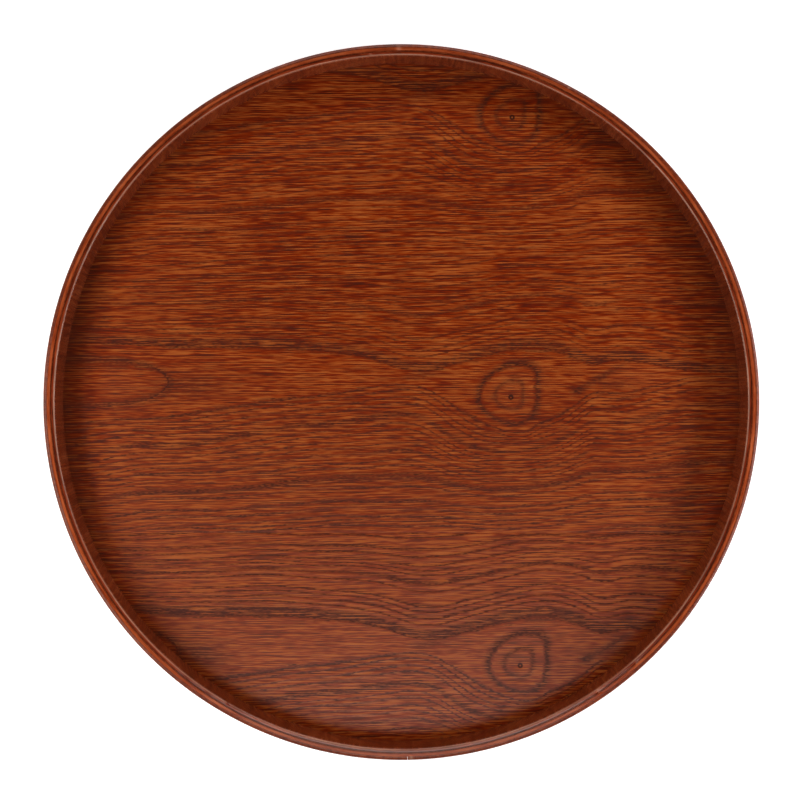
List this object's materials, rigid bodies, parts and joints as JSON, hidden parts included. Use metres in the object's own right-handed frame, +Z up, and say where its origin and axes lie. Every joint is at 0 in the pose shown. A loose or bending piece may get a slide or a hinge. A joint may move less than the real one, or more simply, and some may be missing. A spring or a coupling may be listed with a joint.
{
  "type": "serving tray",
  "caption": "Round wooden serving tray: a flat veneered plywood floor let into a low bent laminated hoop.",
  "frame": {"origin": "centre of the flat ring that the tray stands on", "axes": "+Z up along the hoop's axis, +X along the grain of the floor veneer, +Y towards the back leaf"},
  "size_m": [0.3, 0.3, 0.02],
  "materials": {
    "floor_veneer": "stained mahogany brown open-grained veneer, satin lacquer",
    "hoop_cross_ply": "stained mahogany brown, upright grain, satin lacquer",
    "hoop_long_ply": "stained mahogany brown, grain round the hoop, satin lacquer",
    "panel_ply": "raw plywood, sealed inside the panel",
    "backing_veneer": "stained veneer, thin satin lacquer"
  },
  "bodies": {
    "root": {"hoop_outer_face_ply": "hoop_cross_ply", "hoop_outer_core_ply": "hoop_long_ply", "hoop_middle_ply": "hoop_cross_ply", "hoop_inner_core_ply": "hoop_long_ply", "hoop_inner_face_ply": "hoop_cross_ply", "floor_leaf_back": "floor_veneer", "floor_leaf_middle": "floor_veneer", "floor_leaf_front": "floor_veneer", "panel_upper_crossband": "panel_ply", "panel_core": "panel_ply", "panel_lower_crossband": "panel_ply", "panel_backing_veneer": "backing_veneer"}
  },
  "joints": []
}
